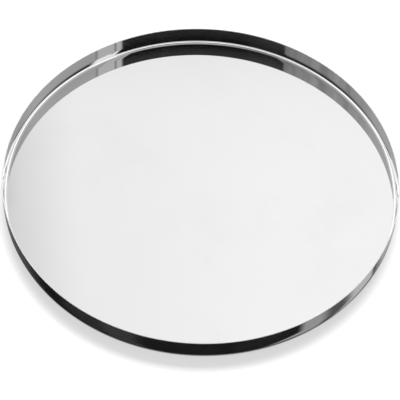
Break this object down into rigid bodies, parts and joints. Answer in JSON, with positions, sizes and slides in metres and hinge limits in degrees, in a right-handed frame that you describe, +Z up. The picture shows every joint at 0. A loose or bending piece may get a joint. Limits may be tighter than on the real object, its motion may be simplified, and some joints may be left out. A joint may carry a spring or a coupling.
{
  "type": "vanity tray",
  "caption": "Shallow round dresser tray: a pressed, mirror-polished steel pan with a flat floor and a low upright rim, standing on thin clear bumper feet.",
  "frame": {"origin": "centre of the tray, on the plane that the feet stand on", "axes": "+Z up along the tray's axis, -Y towards the front, +X to the right"},
  "size_m": [0.305, 0.305, 0.0183],
  "materials": {
    "polished_steel": "mirror-polished stainless steel",
    "clear_bumper": "translucent satin"
  },
  "bodies": {
    "root": {"tray_pan": "polished_steel", "foot_front_left": "clear_bumper", "foot_front_right": "clear_bumper", "foot_back_left": "clear_bumper", "foot_back_right": "clear_bumper"}
  },
  "joints": []
}
